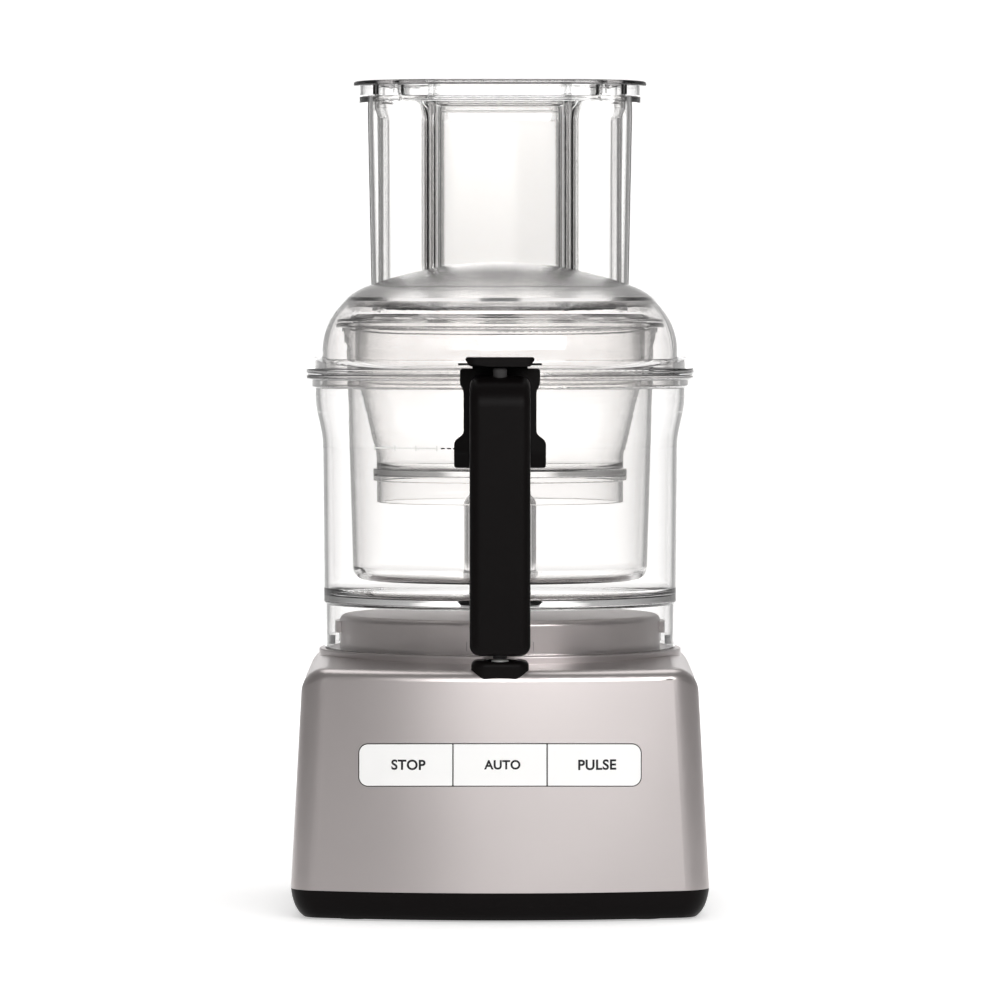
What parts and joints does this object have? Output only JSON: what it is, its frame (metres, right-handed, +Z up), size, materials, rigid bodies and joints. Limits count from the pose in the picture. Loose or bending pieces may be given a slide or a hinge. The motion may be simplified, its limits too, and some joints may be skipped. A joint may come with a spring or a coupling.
{
  "type": "food processor",
  "caption": "Food processor with a satin motor base, nested clear bowls with a hanging grip, a domed lid with a kidney-shaped feed tube, and two pushers.",
  "frame": {"origin": "middle of the footprint's bounding box, on the surface that the feet stand on", "axes": "+Z up, the buttons and the grip face -Y, the cord inlet faces +Y"},
  "size_m": [0.21, 0.26, 0.425],
  "materials": {
    "casing_metal": "satin",
    "black_plastic": "fine textured",
    "rubber": "matte",
    "steel": "turned",
    "zinc": "plated",
    "plate": "satin label",
    "button_plastic": "satin",
    "dark_plastic": "moulded",
    "board": "lacquered",
    "laminations": "varnished laminations",
    "copper": "enamelled wire",
    "alloy": "die cast",
    "white_plastic": "moulded",
    "capacitor_can": "drawn can",
    "clear_bowl": "clear polished",
    "clear_lid": "clear polished",
    "clear_pusher": "clear polished",
    "cup_plastic": "translucent",
    "blade_steel": "ground",
    "hub_plastic": "moulded",
    "spring_steel": "bright wire"
  },
  "bodies": {
    "motor_base": {"motor_casing": "casing_metal", "base_plinth": "black_plastic", "rubber_feet": "rubber", "base_screws": "zinc", "rating_plate": "plate", "cord_gland": "black_plastic", "button_frame": "dark_plastic", "switch_board": "board", "tact_switches": "dark_plastic", "interlock_socket": "black_plastic", "interlock_switch": "dark_plastic", "stator_core": "laminations", "stator_windings": "copper", "lower_end_shield": "alloy", "upper_end_shield": "alloy", "lower_bearing": "steel", "upper_bearing": "steel", "motor_bolts": "zinc", "motor_grommets": "rubber", "run_capacitor": "capacitor_can"},
    "spindle": {"motor_shaft": "steel", "rotor_core": "laminations", "cooling_fan": "white_plastic"},
    "stop_key": {"stop_button": "button_plastic"},
    "auto_key": {"auto_button": "button_plastic"},
    "pulse_key": {"pulse_button": "button_plastic"},
    "plunger": {"interlock_plunger": "white_plastic"},
    "seal": {"shaft_seal": "rubber"},
    "bowl": {"main_bowl": "clear_bowl", "handle_bracket": "black_plastic", "handle_front": "black_plastic", "handle_rear": "black_plastic", "handle_screws": "zinc", "rod_spring": "spring_steel"},
    "rod": {"safety_rod": "dark_plastic"},
    "midi": {"midi_bowl": "clear_bowl"},
    "mini": {"mini_bowl": "clear_bowl"},
    "blade": {"blade_hub": "hub_plastic", "blade_wings": "blade_steel"},
    "bush": {"lid_bush": "clear_lid"},
    "lid": {"lid_dome": "clear_lid", "feed_tube": "clear_lid", "lid_catch": "black_plastic"},
    "pusher": {"large_pusher": "clear_pusher"},
    "cup": {"small_pusher": "cup_plastic"}
  },
  "joints": [
    {"name": "shaft_spin", "type": "hinge", "parent": "motor_base", "child": "spindle", "pos_m": [0, 0.02, 0], "axis": [0, 0, 1], "continuous": true},
    {"name": "stop_press", "type": "slide", "parent": "motor_base", "child": "stop_key", "axis": [0, 0.9969, -0.0785], "range_m": [0, 0.0015], "stiffness_N_per_m": 1500},
    {"name": "auto_press", "type": "slide", "parent": "motor_base", "child": "auto_key", "axis": [0, 0.9969, -0.0785], "range_m": [0, 0.0015], "stiffness_N_per_m": 1500},
    {"name": "pulse_press", "type": "slide", "parent": "motor_base", "child": "pulse_key", "axis": [0, 0.9969, -0.0785], "range_m": [0, 0.0015], "stiffness_N_per_m": 1500},
    {"name": "plunger_slide", "type": "slide", "parent": "motor_base", "child": "plunger", "axis": [0, 0, 1], "range_m": [0, 0.0018]},
    {"name": "bowl_turn", "type": "hinge", "parent": "motor_base", "child": "seal", "pos_m": [0, 0.02, 0], "axis": [0, 0, 1], "range_deg": [0, 30]},
    {"name": "bowl_lift", "type": "slide", "parent": "seal", "child": "bowl", "axis": [0, 0, 1], "range_m": [0, 0.16]},
    {"name": "rod_slide", "type": "slide", "parent": "bowl", "child": "rod", "axis": [0, 0, 1], "range_m": [0, 0.003], "deforming": ["rod_spring"]},
    {"name": "midi_lift", "type": "slide", "parent": "bowl", "child": "midi", "axis": [0, 0, 1], "range_m": [0, 0.12]},
    {"name": "mini_lift", "type": "slide", "parent": "midi", "child": "mini", "axis": [0, 0, 1], "range_m": [0, 0.11]},
    {"name": "blade_spin", "type": "hinge", "parent": "mini", "child": "blade", "pos_m": [0, 0.02, 0], "axis": [0, 0, 1], "continuous": true},
    {"name": "lid_lift", "type": "slide", "parent": "mini", "child": "bush", "axis": [0, 0, 1], "range_m": [0, 0.1]},
    {"name": "lid_turn", "type": "hinge", "parent": "bush", "child": "lid", "pos_m": [0, 0.02, 0], "axis": [0, 0, 1], "range_deg": [0, 30]},
    {"name": "pusher_lift", "type": "slide", "parent": "lid", "child": "pusher", "axis": [0, 0, 1], "range_m": [0, 0.12]},
    {"name": "cup_lift", "type": "slide", "parent": "pusher", "child": "cup", "axis": [0, 0, 1], "range_m": [0, 0.12]}
  ],
  "couplings": [
    {"joint": "blade_spin", "follows": "shaft_spin", "ratio": 1},
    {"joint": "rod_slide", "follows": "lid_turn", "m_per_rad": 0.0057},
    {"joint": "plunger_slide", "follows": "lid_turn", "m_per_rad": 0.0034}
  ]
}
